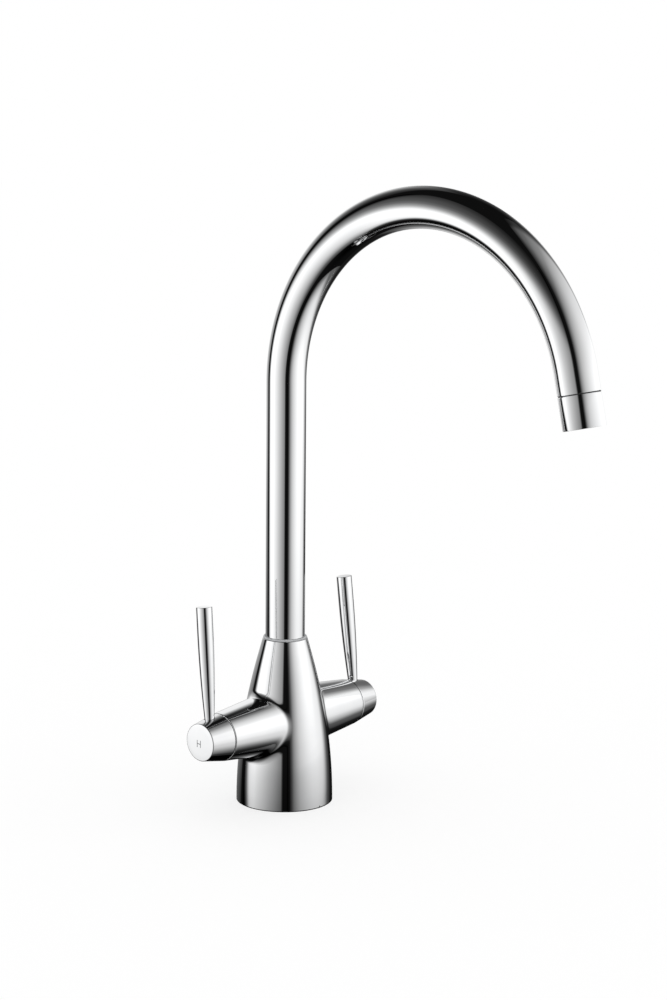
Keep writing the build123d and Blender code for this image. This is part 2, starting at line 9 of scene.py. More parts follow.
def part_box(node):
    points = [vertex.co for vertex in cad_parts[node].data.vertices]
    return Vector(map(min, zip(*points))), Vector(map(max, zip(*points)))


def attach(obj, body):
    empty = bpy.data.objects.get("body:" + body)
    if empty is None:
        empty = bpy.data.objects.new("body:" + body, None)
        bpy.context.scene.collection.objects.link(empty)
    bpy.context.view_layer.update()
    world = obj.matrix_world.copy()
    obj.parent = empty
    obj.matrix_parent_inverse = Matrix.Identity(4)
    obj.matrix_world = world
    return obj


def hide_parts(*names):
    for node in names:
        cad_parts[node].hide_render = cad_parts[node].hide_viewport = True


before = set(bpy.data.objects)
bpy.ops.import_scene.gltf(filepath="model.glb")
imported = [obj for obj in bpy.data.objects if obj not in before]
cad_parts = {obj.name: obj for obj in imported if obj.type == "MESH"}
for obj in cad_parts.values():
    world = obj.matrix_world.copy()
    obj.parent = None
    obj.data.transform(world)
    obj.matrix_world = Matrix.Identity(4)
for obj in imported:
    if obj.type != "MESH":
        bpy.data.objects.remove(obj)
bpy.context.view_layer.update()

# Body: one brass casting, a bullet that narrows from the deck to the spout's neck, with a coned arm on
# each side. The cored inside stays as cast; the outside is buffed and plated with nickel and chrome, a
# thin skin that also turns a little way into the neck, the arms' ends and the set screw's hole.
_, body_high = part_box("body")
body_height = body_high.z
base_radius = body_high.y
arm_reach = body_high.x
neck_radius = 0.01235
neck_bore = 0.01125
cone_length = 0.009
cone_slope = radians(15.4)
rim_round = 0.00025
arm_height = 0.046
arm_end_radius = 0.0131
arm_taper = radians(6.2)
arm_blend = 0.005
side_blend = 0.011
side_crisp = 2.8
arm_bore = 0.01045
screw_low, screw_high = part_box("spout_screw")
screw_height = (screw_low.z + screw_high.z) / 2
screw_hole = 0.0025
seam_break = 0.0005
plating = 0.00010
plating_depth = 0.00008
plating_return = 0.0012
back_strip = radians(16)
outline_steps = 2001
side_columns = 56
hole_columns = 14
columns_above = 10
arm_rows = 26
end_rows = 9
blend_rows = 24
bullet_rows = 46
strip_rows = 9
rim_rows = 7
touch_rounds = 12
ball_halvings = 50

outline_share = np.linspace(0, 1, outline_steps)[:, None]
outline_foot = np.array((base_radius, 0.0))
outline_head = np.array((neck_radius + cone_length * tan(cone_slope), body_height - cone_length))
outline_legs = np.abs(outline_head - outline_foot).sum()
foot_way = np.array((0.0, 1.0))
head_way = np.array((-sin(cone_slope), cos(cone_slope)))
foot_pull = foot_way * outline_legs
head_pull = head_way * outline_legs / (sin(cone_slope) + cos(cone_slope))
outline = (
    (2 * outline_share**3 - 3 * outline_share**2 + 1) * outline_foot
    + (outline_share**3 - 2 * outline_share**2 + outline_share) * foot_pull
    + (3 * outline_share**2 - 2 * outline_share**3) * outline_head
    + (outline_share**3 - outline_share**2) * head_pull
)
outline = np.vstack((outline, (neck_radius, body_height)))
outline_slope = np.gradient(outline[:, 0], outline[:, 1])


def on_bullet(angle, height, proud):
    """Points of the bullet: its outline's radius at a height, turned by an angle from the arm's
    direction and stood proud along the outward normal. The outline is a cubic from the upright wall at
    the deck to the neck's cone."""
    radius = np.interp(height, outline[:, 1], outline[:, 0])
    slope = np.interp(height, outline[:, 1], outline_slope)
    lean = proud / np.sqrt(1 + slope**2)
    ring = radius + lean
    return np.stack((ring * np.cos(angle), ring * np.sin(angle), height - lean * slope), axis=-1)


def about_arm(along, radius, turn):
    """Points at a distance along the arm and a radius from its axis, at a turn from straight up."""
    along, radius, turn = np.broadcast_arrays(along, radius, turn)
    return np.stack((along, radius * np.sin(turn), arm_height + radius * np.cos(turn)), axis=-1)


def about_riser(radius, height, angle):
    """A profile of radii and heights turned about the riser's axis, with a column at each angle."""
    across = radius[:, None] * np.cos(angle)
    back = radius[:, None] * np.sin(angle)
    return np.stack(np.broadcast_arrays(across, back, height[:, None]), axis=-1)


def skin(name, *sheets, crease=30.0, weld=1e-6):
    """Mesh piece from sheets: each is a grid of points with a quad between neighbours, and sheets are
    welded where their edges meet. Edges sharper than the crease, in degrees, stay sharp."""
    faces = []
    first = 0
    for sheet in sheets:
        index = first + np.arange(sheet.shape[0] * sheet.shape[1]).reshape(sheet.shape[:2])
        corners = (index[:-1, :-1], index[:-1, 1:], index[1:, 1:], index[1:, :-1])
        faces.append(np.stack(corners, axis=-1).reshape(-1, 4))
        first += index.size
    points = np.concatenate([sheet.reshape(-1, 3) for sheet in sheets])
    mesh = bpy.data.meshes.new(name)
    mesh.from_pydata(points, [], np.concatenate(faces))
    shell = bmesh.new()
    shell.from_mesh(mesh)
    bmesh.ops.remove_doubles(shell, verts=shell.verts, dist=weld)
    bmesh.ops.recalc_face_normals(shell, faces=shell.faces)
    shell.to_mesh(mesh)
    shell.free()
    mesh.polygons.foreach_set("use_smooth", np.ones(len(mesh.polygons), dtype=bool))
    mesh.set_sharp_from_angle(angle=radians(crease))
    piece = bpy.data.objects.new(name, mesh)
    bpy.context.scene.collection.objects.link(piece)
    return piece


def finish_of(name):
    """New node material and its principled shader, with the piece's own coordinates."""
    material = bpy.data.materials.new(name)
    material.use_nodes = True
    shader = material.node_tree.nodes["Principled BSDF"]
    place = material.node_tree.nodes.new("ShaderNodeTexCoord")
    return material, shader, place.outputs["Object"]


def grain(material, place, scale, detail, stretch=(1.0, 1.0, 1.0)):
    """Noise over the piece in blotches of about one over the scale, drawn out along an axis if wanted."""
    tree = material.node_tree
    mapping = tree.nodes.new("ShaderNodeMapping")
    mapping.inputs["Scale"].default_value = stretch
    noise = tree.nodes.new("ShaderNodeTexNoise")
    noise.inputs["Scale"].default_value = scale
    noise.inputs["Detail"].default_value = detail
    tree.links.new(place, mapping.inputs["Vector"])
    tree.links.new(mapping.outputs["Vector"], noise.inputs["Vector"])
    return noise.outputs["Fac"]


# Nearly all of a noise lies between these two values.
noise_low = 0.3
noise_high = 0.7


def tinted(material, value, shader, dark, light):
    """Colours the shader between a dark and a light tint, chosen by a noise value."""
    tree = material.node_tree
    ramp = tree.nodes.new("ShaderNodeValToRGB")
    ramp.color_ramp.elements[0].position = noise_low
    ramp.color_ramp.elements[0].color = (*dark, 1)
    ramp.color_ramp.elements[1].position = noise_high
    ramp.color_ramp.elements[1].color = (*light, 1)
    tree.links.new(value, ramp.inputs["Fac"])
    tree.links.new(ramp.outputs["Color"], shader.inputs["Base Color"])


def roughened(material, value, shader, low, high):
    """Roughens the shader by a noise value, stretched between a low and a high number."""
    tree = material.node_tree
    span = tree.nodes.new("ShaderNodeMapRange")
    span.inputs["From Min"].default_value = noise_low
    span.inputs["From Max"].default_value = noise_high
    span.inputs["To Min"].default_value = low
    span.inputs["To Max"].default_value = high
    tree.links.new(value, span.inputs["Value"])
    tree.links.new(span.outputs["Result"], shader.inputs["Roughness"])


def rippled(material, value, shader, depth, strength):
    """Raises a noise value as a bump of a given depth in metres."""
    tree = material.node_tree
    bump = tree.nodes.new("ShaderNodeBump")
    bump.inputs["Distance"].default_value = depth
    bump.inputs["Strength"].default_value = strength
    tree.links.new(value, bump.inputs["Height"])
    tree.links.new(bump.outputs["Normal"], shader.inputs["Normal"])


def polished_chrome(name, haze, wave, stretch=(1.0, 1.0, 1.0)):
    """Polished plate: a near mirror whose roughness and tint wander with a faint haze of wiping, and whose
    surface keeps a slight wave from the metal under it. Haze and wave are scales of noise."""
    material, shader, place = finish_of(name)
    shader.inputs["Metallic"].default_value = 1.0
    wiped = grain(material, place, scale=haze, detail=5.0, stretch=stretch)
    tinted(material, wiped, shader, dark=(0.885, 0.892, 0.900), light=(0.915, 0.918, 0.922))
    roughened(material, wiped, shader, low=0.015, high=0.045)
    waved = grain(material, place, scale=wave, detail=2.0, stretch=stretch)
    rippled(material, waved, shader, depth=0.00002, strength=0.04)
    return material


# Columns go once round the arm, a quarter of them to each side of the bullet's unrolled half.
corner_degrees = 45
turn = np.radians(np.linspace(-corner_degrees, 360 - corner_degrees, 4 * side_columns + 1))
ball_size = arm_blend + (side_blend - arm_blend) * np.sin(turn) ** 2


def bullet_touch(height):
    """Height at which a ball of the blend's size, centred at a height, touches the bullet. The bullet's
    normal leans little, so the height settles in a few rounds."""
    touch = height
    for _ in range(touch_rounds):
        slope = np.interp(touch, outline[:, 1], outline_slope)
        touch = height + ball_size * slope / np.sqrt(1 + slope**2)
    return touch


def ball_radius(along):
    """Distance from the arm's axis of a ball that lies on the arm's cone, at a distance along it."""
    return arm_end_radius + (arm_reach - along) * tan(arm_taper) + ball_size / cos(arm_taper)


def ball_clearance(along):
    """How far a ball on the arm's cone stands off the bullet, at each turn round the arm."""
    radius = ball_radius(along)
    touch = bullet_touch(arm_height + radius * np.cos(turn))
    slope = np.interp(touch, outline[:, 1], outline_slope)
    level = np.interp(touch, outline[:, 1], outline[:, 0]) + ball_size / np.sqrt(1 + slope**2)
    return np.hypot(along, radius * np.sin(turn)) - level


ball_near = np.zeros_like(turn)
ball_far = np.full_like(turn, arm_reach)
for _ in range(ball_halvings):
    ball_middle = (ball_near + ball_far) / 2
    touches = ball_clearance(ball_middle) < 0
    ball_near = np.where(touches, ball_middle, ball_near)
    ball_far = np.where(touches, ball_far, ball_middle)
ball_along = (ball_near + ball_far) / 2
ball_centre = about_arm(ball_along, ball_radius(ball_along), turn)
touch_height = bullet_touch(ball_centre[:, 2])
touch_angle = np.arctan2(ball_centre[:, 1], ball_centre[:, 0])
arm_normal = about_arm(sin(arm_taper), cos(arm_taper), turn) - (0, 0, arm_height)
bullet_normal = on_bullet(touch_angle, touch_height, 1.0) - on_bullet(touch_angle, touch_height, 0.0)

# The blend is a conic from the arm to the bullet, drawn towards the corner where their faces would meet.
# It is a round arc at the top and foot of the arm; at the sides it is longer and turns more sharply.
blend_cosine = (arm_normal * bullet_normal).sum(axis=1)[:, None]
blend_pull = np.sqrt((1 + blend_cosine) / 2) * (1 + side_crisp * np.sin(turn)[:, None] ** 2)
corner_normal = (arm_normal + bullet_normal) / (1 + blend_cosine)
blend_share = ((1 - np.cos(np.linspace(0, pi, blend_rows))) / 2)[:, None, None]
arm_weight = (1 - blend_share) ** 2
corner_weight = 2 * blend_share * (1 - blend_share) * blend_pull
bullet_weight = blend_share**2
blend_normal = (
    arm_weight * arm_normal + corner_weight * corner_normal + bullet_weight * bullet_normal
) / (arm_weight + corner_weight + bullet_weight)
blend_sheet = ball_centre - (ball_size - plating)[:, None] * blend_normal

# The arm runs straight from its end to the blend; the end has a rounded edge and turns into the bore.
arm_start = ball_along - ball_size * sin(arm_taper)
arm_share = np.linspace(0, 1, arm_rows)[1:-1, None]
arm_along = (arm_reach - seam_break * (1 - sin(arm_taper))) * (1 - arm_share) + arm_start * arm_share
arm_radius = arm_end_radius + (arm_reach - arm_along) * tan(arm_taper)
arm_sheet = about_arm(arm_along, arm_radius, turn) + plating * arm_normal
end_turn = np.linspace(pi / 2, arm_taper, end_rows)
end_middle = arm_end_radius + seam_break * (tan(arm_taper) - 1 / cos(arm_taper))
end_along = arm_reach - seam_break + (seam_break + plating) * np.sin(end_turn)
end_radius = end_middle + (seam_break + plating) * np.cos(end_turn)
arm_lining = arm_bore - plating / 2
end_along = np.append((arm_reach - plating_return, arm_reach, arm_reach + plating), end_along)
end_radius = np.append((arm_lining, arm_lining, arm_bore + plating / 2), end_radius)
end_sheet = about_arm(end_along[:, None], end_radius[:, None], turn)

# The rest of the half bullet runs from the blend to the border of its unrolled sheet: the neck, a strip at
# the back, the deck and the seam at the front, one after another as the turn goes round.
cone_top = body_height - rim_round * (1 - sin(cone_slope))
columns_below = side_columns - columns_above - hole_columns
hole_radius = screw_hole - plating / 2
hole_turn = np.linspace(0, pi, hole_columns + 1)
hole_height = screw_height + hole_radius * np.cos(hole_turn)
back_height = np.concatenate(
    (
        np.linspace(cone_top, hole_height[0], columns_above + 1)[:-1],
        hole_height,
        np.linspace(hole_height[-1], 0, columns_below + 1)[1:],
    )
)
border_side, border_share = np.divmod(np.linspace(0, 4, 4 * side_columns + 1), 1)
border_sides = (border_side == 0, border_side == 1, border_side == 2)
back_edge = pi / 2 - back_strip
border_reach = (pi - back_strip) * border_share
border_angle = np.select(border_sides, (border_reach - pi / 2, back_edge, back_edge - border_reach), -pi / 2)
border_height = cone_top * np.select(border_sides, (1.0, 0.0, 0.0), border_share)
border_height[side_columns : 2 * side_columns + 1] = back_height
border_height[-1] = cone_top
bullet_share = np.linspace(0, 1, bullet_rows)[1:, None]
bullet_sheet = on_bullet(
    touch_angle + (border_angle - touch_angle) * bullet_share,
    touch_height + (border_height - touch_height) * bullet_share,
    plating,
)
half_skin = np.concatenate((end_sheet, arm_sheet, blend_sheet, bullet_sheet))

# The strip at the back runs level to the seam, where it leaves a round hole for the set screw and turns a
# little way into it.
at_hole = slice(columns_above, columns_above + hole_columns + 1)
hole_ring = np.interp(hole_height, outline[:, 1], outline[:, 0]) + plating
seam_angle = np.full_like(back_height, pi / 2)
seam_angle[at_hole] = np.arccos(hole_radius * np.sin(hole_turn) / hole_ring)
strip_share = np.linspace(0, 1, strip_rows)[:, None]
strip_angle = back_edge + (seam_angle - back_edge) * strip_share
strip_sheet = on_bullet(strip_angle, np.broadcast_to(back_height, strip_angle.shape), plating)
hole_rim = strip_sheet[-1, at_hole]
hole_sheet = np.stack((hole_rim, hole_rim - (0, plating_return, 0)))

# The rim at the neck is rounded over and turns into the bore.
rim_turn = np.linspace(cone_slope, pi / 2, rim_rows)
rim_middle = neck_radius + rim_round * tan(cone_slope) - rim_round / cos(cone_slope)
rim_radius = rim_middle + (rim_round + plating) * np.cos(rim_turn)
rim_height = body_height - rim_round + (rim_round + plating) * np.sin(rim_turn)
neck_lining = neck_bore - plating / 2
rim_radius = np.append(rim_radius, (neck_bore + plating, neck_lining, neck_lining))
rim_height = np.append(rim_height, (body_height + plating, body_height, body_height - plating_return))
rim_angle = np.append(border_angle[: side_columns + 1], strip_angle[1:, 0])
rim_sheet = about_riser(rim_radius, rim_height, rim_angle)
body_sheets = (half_skin, strip_sheet, hole_sheet, rim_sheet)
other_half = np.array((-1, 1, 1))
body_plating = skin("body_plating", *body_sheets, *(sheet * other_half for sheet in body_sheets), crease=35.0)
thickness = body_plating.modifiers.new("plate_thickness", "SOLIDIFY")
thickness.thickness = plating_depth
thickness.offset = -1.0
body_plating.data.materials.append(polished_chrome("chrome_on_casting", haze=90.0, wave=35.0))
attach(body_plating, "body")


def cast_brass(name):
    """Sand-cast brass: dull gold with darker patches and the grit of the mould."""
    material, shader, place = finish_of(name)
    shader.inputs["Metallic"].default_value = 1.0
    patches = grain(material, place, scale=160.0, detail=6.0)
    tinted(material, patches, shader, dark=(0.50, 0.36, 0.17), light=(0.72, 0.55, 0.28))
    roughened(material, patches, shader, low=0.38, high=0.62)
    grit = grain(material, place, scale=1400.0, detail=3.0)
    rippled(material, grit, shader, depth=0.0001, strength=0.5)
    return material


def dress(node, material):
    """Gives a solid of the frame its finish."""
    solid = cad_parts[node]
    solid.data.materials.clear()
    solid.data.materials.append(material)


dress("body", cast_brass("cast_brass"))


# Base gasket: a flat ring moulded in nitrile rubber and pressed into a groove of the underside. It lies
# flush with the foot and seals it to the deck.
def moulded_rubber(name):
    """Nitrile rubber: near black with a dusty bloom and a fine matt grain."""
    material, shader, place = finish_of(name)
    bloom = grain(material, place, scale=220.0, detail=5.0)
    tinted(material, bloom, shader, dark=(0.012, 0.012, 0.013), light=(0.034, 0.034, 0.035))
    roughened(material, bloom, shader, low=0.55, high=0.80)
    matt_grain = grain(material, place, scale=2600.0, detail=2.0)
    rippled(material, matt_grain, shader, depth=0.00005, strength=0.35)
    return material


rubber = moulded_rubber("nitrile_rubber")
dress("base_gasket", rubber)

# Neck ring: a bearing ring moulded in grey acetal, rounded like a bead, that lies on the neck's rim and
# keeps the plated riser from rubbing on the casting. A groove at the riser and one at the rim part them.
ring_low, ring_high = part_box("neck_ring")
ring_outside = ring_high.x
ring_bore = 0.01105
ring_groove = 0.0004
ring_crown = 0.0005
ring_under = 0.0004
ring_columns = 120
ring_rows = 8


def moulded_plastic(name, dark, light):
    """Acetal: an even, slightly waxy plastic with faint flow marks from the mould."""
    material, shader, place = finish_of(name)
    flow = grain(material, place, scale=180.0, detail=3.0, stretch=(1.0, 1.0, 0.3))
    tinted(material, flow, shader, dark, light)
    roughened(material, flow, shader, low=0.34, high=0.50)
    waxy_grain = grain(material, place, scale=1800.0, detail=2.0)
    rippled(material, waxy_grain, shader, depth=0.00003, strength=0.2)
    return material


grey_acetal = moulded_plastic("grey_acetal", dark=(0.52, 0.53, 0.54), light=(0.64, 0.65, 0.66))
crown_turn = np.linspace(pi / 2, 0, ring_rows)
under_turn = np.linspace(0, -pi / 2, ring_rows)
bead_radius = np.concatenate(
    (
        (ring_bore, ring_bore, ring_bore + ring_groove),
        ring_outside - ring_crown + ring_crown * np.cos(crown_turn),
        ring_outside - ring_under + ring_under * np.cos(under_turn),
        (ring_bore,),
    )
)
bead_height = np.concatenate(
    (
        (ring_low.z, ring_high.z - ring_groove, ring_high.z),
        ring_high.z - ring_crown + ring_crown * np.sin(crown_turn),
        ring_low.z + ring_under + ring_under * np.sin(under_turn),
        (ring_low.z,),
    )
)
bead_angle = np.linspace(0, 2 * pi, ring_columns + 1)
neck_bead = skin("neck_bead", about_riser(bead_radius, bead_height, bead_angle))
neck_bead.data.materials.append(grey_acetal)
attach(neck_bead, "body")
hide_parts("neck_ring")


# Valves: in each arm a rubber seat seal, two lapped ceramic discs and a turned brass bonnet that screws
# into the arm, with its O-ring and a plastic slip washer. The spindle turns in the bonnet.
def turned_metal(name, dark, light, rough, axis):
    """Turned metal: fine tool rings square to the turning axis, with a wander in tint and shine."""
    material, shader, place = finish_of(name)
    shader.inputs["Metallic"].default_value = 1.0
    along_axis = 1.0
    round_axis = 0.02
    rings = [along_axis if letter == axis else round_axis for letter in "XYZ"]
    tool_marks = grain(material, place, scale=4200.0, detail=2.0, stretch=rings)
    tinted(material, grain(material, place, scale=240.0, detail=5.0), shader, dark, light)
    roughened(material, tool_marks, shader, low=rough * 0.8, high=rough * 1.3)
    rippled(material, tool_marks, shader, depth=0.00003, strength=0.4)
    return material


def lapped_ceramic(name):
    """Alumina: ivory white with a faint speckle and a lapped, half gloss face."""
    material, shader, place = finish_of(name)
    speckle = grain(material, place, scale=900.0, detail=6.0)
    tinted(material, speckle, shader, dark=(0.80, 0.78, 0.72), light=(0.90, 0.89, 0.85))
    roughened(material, speckle, shader, low=0.22, high=0.36)
    return material


brass_dark = (0.62, 0.45, 0.20)
brass_light = (0.83, 0.66, 0.36)
valve_brass = turned_metal("turned_brass_valve", brass_dark, brass_light, rough=0.24, axis="X")
ceramic = lapped_ceramic("alumina")
acetal = moulded_plastic("white_acetal", dark=(0.74, 0.74, 0.71), light=(0.83, 0.83, 0.80))
for side in ("hot", "cold"):
    dress(f"{side}_seat_seal", rubber)
    dress(f"{side}_bonnet_ring", rubber)
    dress(f"{side}_fixed_disc", ceramic)
    dress(f"{side}_bonnet", valve_brass)
    dress(f"{side}_valve_washer", acetal)

# Spout bearing: a turned foot brazed into the tube, two O-rings, a slip washer and the set screw at the
# back of the neck, whose point runs in the foot's groove and keeps the spout down.
steel_dark = (0.50, 0.50, 0.51)
steel_light = (0.66, 0.66, 0.67)
fitting_brass = turned_metal("turned_brass_fitting", brass_dark, brass_light, rough=0.24, axis="Z")
screw_steel = turned_metal("screw_steel", steel_dark, steel_light, rough=0.28, axis="Y")
dress("spout_foot", fitting_brass)
dress("outlet_nipple", fitting_brass)
dress("spout_rings", rubber)
dress("spout_washer", acetal)
dress("spout_screw", screw_steel)

# Spout: one length of drawn brass tube, bent over a former in a single plane, then buffed and plated. Its
# riser stands in the neck and its tail carries the aerator.
tube_low, tube_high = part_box("spout_tube")
tube_radius = tube_high.x
tube_bore = 0.010
tube_edge = 0.0002
riser_foot = tube_low.z
bend_height = 0.237
bend_radius = tube_high.z - tube_radius - bend_height
bend_angle = radians(167)
tail_length = 0.0105
tube_columns = 112
riser_stations = 16
bend_stations = 150
bore_stride = 3
riser_length = bend_height - riser_foot
bend_length = bend_radius * bend_angle
spout_length = riser_length + bend_length + tail_length


def spout_line(along):
    """Centre and outward direction of the spout at a length from its foot: straight up the riser, round
    the bend by length over radius, then straight on from the bend's end."""
    swept = np.clip((along - riser_length) / bend_radius, 0, bend_angle)
    straight = np.minimum(along, riser_length)
    tail = np.maximum(along - riser_length - bend_length, 0)
    level = np.zeros_like(swept)
    forward = np.stack((level, -np.sin(swept), np.cos(swept)), axis=-1)
    outward = np.stack((level, np.cos(swept), np.sin(swept)), axis=-1)
    middle = np.array((0, -bend_radius, riser_foot))
    centre = middle + bend_radius * outward + tail[:, None] * forward
    centre[:, 2] += straight
    return centre, outward


def along_spout(along, radius):
    """Rings about the spout's line: at each length a circle of the given radius, square to the line."""
    centre, outward = spout_line(along)
    angle = np.linspace(0, 2 * pi, tube_columns + 1)[None, :, None]
    across = np.array((1.0, 0.0, 0.0))
    spokes = outward[:, None] * np.cos(angle) + across * np.sin(angle)
    return centre[:, None] + radius[:, None, None] * spokes


riser_steps = np.linspace(tube_edge, riser_length, riser_stations)[:-1]
bend_steps = riser_length + bend_length * np.linspace(0, 1, bend_stations)
wall_steps = np.concatenate((riser_steps, bend_steps, (spout_length - tube_edge,)))
bore_steps = wall_steps[::-bore_stride]
wall_along = np.concatenate(
    (
        wall_steps,
        (spout_length, spout_length),
        bore_steps,
        (0.0, 0.0, tube_edge),
    )
)
wall_radius = np.concatenate(
    (
        np.full(len(wall_steps), tube_radius),
        (tube_radius - tube_edge, tube_bore + tube_edge),
        np.full(len(bore_steps), tube_bore),
        (tube_bore + tube_edge, tube_radius - tube_edge, tube_radius),
    )
)
spout_shell = skin("spout_shell", along_spout(wall_along, wall_radius))
tube_chrome = polished_chrome("chrome_on_tube", haze=70.0, wave=24.0, stretch=(1.0, 1.0, 0.35))
spout_shell.data.materials.append(tube_chrome)
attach(spout_shell, "spout")
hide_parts("spout_tube")

# Aerator: a plated sleeve of the tube's own width screws on the tail's nipple, up to a black seam ring,
# and holds a washer, a jet plate and a honeycomb of thin plastic cells that straightens the water.
seam_gap = 0.0005
sleeve_length = 0.017
sleeve_thread = 0.00925
sleeve_bore = 0.0086
sleeve_mouth = 0.0077
sleeve_shoulder = 0.0104
sleeve_recess = 0.0012
sleeve_edge = 0.00035
sleeve_turn = sleeve_edge * 0.3
mouth_edge = sleeve_edge * 0.5
sleeve_end = seam_gap + sleeve_length
sleeve_profile = np.array(
    (
        (seam_gap + sleeve_edge, tube_radius),
        (sleeve_end - sleeve_edge, tube_radius),
        (sleeve_end - sleeve_turn, tube_radius - sleeve_turn),
        (sleeve_end, tube_radius - sleeve_edge),
        (sleeve_end, sleeve_mouth + mouth_edge),
        (sleeve_end - mouth_edge, sleeve_mouth),
        (sleeve_end - sleeve_recess, sleeve_mouth),
        (sleeve_end - sleeve_recess, sleeve_bore),
        (sleeve_shoulder, sleeve_bore),
        (sleeve_shoulder, sleeve_thread),
        (seam_gap, sleeve_thread),
        (seam_gap, tube_radius - sleeve_edge),
        (seam_gap + sleeve_edge, tube_radius),
    )
)
sleeve_along, sleeve_radius = sleeve_profile.T
aerator_sleeve = skin("aerator_sleeve", along_spout(spout_length + sleeve_along, sleeve_radius))
aerator_sleeve.data.materials.append(tube_chrome)
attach(aerator_sleeve, "spout")
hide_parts("aerator_housing")
dress("seam_ring", rubber)
dress("aerator_washer", rubber)
dress("aerator_plate", acetal)
dress("aerator_insert", grey_acetal)

# Handle hubs: short turned brass cones, plated, that carry on the line of the arms, with a rounded edge at
# the arm. Each has a splined bore for its spindle, a round seat for the lever and a grub screw hole below.
hub_low, hub_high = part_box("cold_hub")
hub_start = hub_low.x
hub_end = hub_high.x
hub_face_radius = 0.0103
hub_face_edge = 0.0006
hub_recess = 0.0090
hub_recess_depth = 0.0020
hub_bore = 0.00405
hub_bore_end = 0.06225
lever_setback = 0.0065
lever_place = hub_start + lever_setback
lever_lean = radians(5.5)
lever_tilt = radians(1.7)
lever_seat = 0.0106
lever_seat_hole = 0.00295
lever_stud_hole = 0.00205
lever_stud_floor = 0.0051
grub_hole = 0.00205
grub_floor = 0.00408
hub_side_columns = 40
hub_rows = 20
hub_rim_rounds = 8
face_rows = 7
face_rings = np.array((0.7, 0.35, 0.0))
rear_rows = 9
hub_slope = (arm_end_radius - hub_face_radius) / (hub_end - hub_start)
hub_cone = np.arctan(hub_slope)
hub_front = hub_end - hub_face_edge * (1 - sin(hub_cone))
hub_rear = hub_start + seam_break * (1 + sin(hub_cone))


def hub_radius(along):
    """Radius of the hub's cone, which falls evenly along the arm."""
    return arm_end_radius - (along - hub_start) * hub_slope


def hub_half(opposite, tilt, hole, floors):
    """Half of the hub's cone with a round hole, tilted a little from square to the arm. The hole's rim is
    where its wall meets the cone. It is joined by straight lines in the unrolled sheet to the sheet's
    border, and inwards it steps down through its floors, each a distance from the arm's axis and a radius."""
    side, share = np.divmod(np.linspace(0, 4, 4 * hub_side_columns + 1), 1)
    side[-1], share[-1] = 3, 1
    sides = (side == 0, side == 1, side == 2)
    span = hub_front - hub_rear
    border_along = hub_rear + span * np.select(sides, (share, 1, 1 - share), 0)
    border_turn = pi / 2 * np.select(sides, (1, 1 - 2 * share, -1), 2 * share - 1)
    spin = np.arctan2(border_turn, (border_along - lever_place) * pi / 2 / span)

    depth, width = np.transpose(floors)[:, :, None]
    well_along = lever_place - depth * sin(tilt) + width * np.cos(spin) * cos(tilt)
    well_height = depth * cos(tilt) + width * np.cos(spin) * sin(tilt)
    well_across = width * np.sin(spin)
    well_turn = np.arctan2(well_across, well_height)
    well = about_arm(well_along, np.hypot(well_height, well_across), well_turn + opposite + lever_lean)

    rim_height = hub_radius(lever_place)
    for _ in range(hub_rim_rounds):
        rim_along = lever_place - rim_height * tan(tilt) + hole * np.cos(spin) / cos(tilt)
        rim_height = np.sqrt(hub_radius(rim_along) ** 2 - (hole * np.sin(spin)) ** 2)
    rim_turn = np.arctan2(hole * np.sin(spin), rim_height)
    rows = np.linspace(0, 1, hub_rows)[:, None]
    sheet_along = rim_along + (border_along - rim_along) * rows
    sheet_turn = rim_turn + (border_turn - rim_turn) * rows
    sheet = about_arm(sheet_along, hub_radius(sheet_along), sheet_turn + opposite + lever_lean)
    return np.concatenate((well, sheet))


lever_floors = (
    (lever_stud_floor, 0.0),
    (lever_stud_floor, lever_stud_hole),
    (lever_seat, lever_stud_hole),
    (lever_seat, lever_seat_hole),
)
grub_floors = ((grub_floor, 0.0), (grub_floor, grub_hole))
hub_turns = np.linspace(-pi / 2, 3 * pi / 2, 2 * hub_side_columns + 1) + lever_lean
face_turn = np.linspace(hub_cone, pi / 2, face_rows)
face_middle = hub_radius(hub_front) - hub_face_edge * cos(hub_cone)
face_along = hub_end - hub_face_edge * (1 - np.sin(face_turn))
face_radius = face_middle + hub_face_edge * np.cos(face_turn)
face_along = np.append(face_along, np.full_like(face_rings, hub_end))
face_radius = np.append(face_radius, hub_face_radius * face_rings)
rear_turn = np.linspace(hub_cone, -pi / 2, rear_rows)
rear_middle = hub_radius(hub_rear) - seam_break * cos(hub_cone)
rear_along = hub_start + seam_break * (1 + np.sin(rear_turn))
rear_radius = rear_middle + seam_break * np.cos(rear_turn)
recess_floor = hub_start + hub_recess_depth
rear_along = np.append(rear_along, (hub_start, recess_floor, recess_floor, hub_bore_end, hub_bore_end))
rear_radius = np.append(rear_radius, (hub_recess, hub_recess, hub_bore, hub_bore, 0.0))
hub_sheets = (
    hub_half(0.0, lever_tilt, lever_seat_hole, lever_floors),
    hub_half(pi, -lever_tilt, grub_hole, grub_floors),
    about_arm(face_along[:, None], face_radius[:, None], hub_turns),
    about_arm(rear_along[:, None], rear_radius[:, None], hub_turns),
)
handle_chrome = polished_chrome("chrome_on_handle", haze=150.0, wave=60.0)
spindle_brass = turned_metal("turned_brass_spindle", brass_dark, brass_light, rough=0.20, axis="X")
for side, mirror in (("hot", other_half), ("cold", 1)):
    hub = skin(f"{side}_hub_shell", *(sheet * mirror for sheet in hub_sheets))
    hub.data.materials.append(handle_chrome)
    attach(hub, f"{side}_handle")
    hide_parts(f"{side}_hub")
    dress(f"{side}_spindle", spindle_brass)
    dress(f"{side}_spindle_rings", rubber)
    dress(f"{side}_spindle_clip", screw_steel)
    dress(f"{side}_moving_disc", ceramic)
    dress(f"{side}_grub_screw", screw_steel)

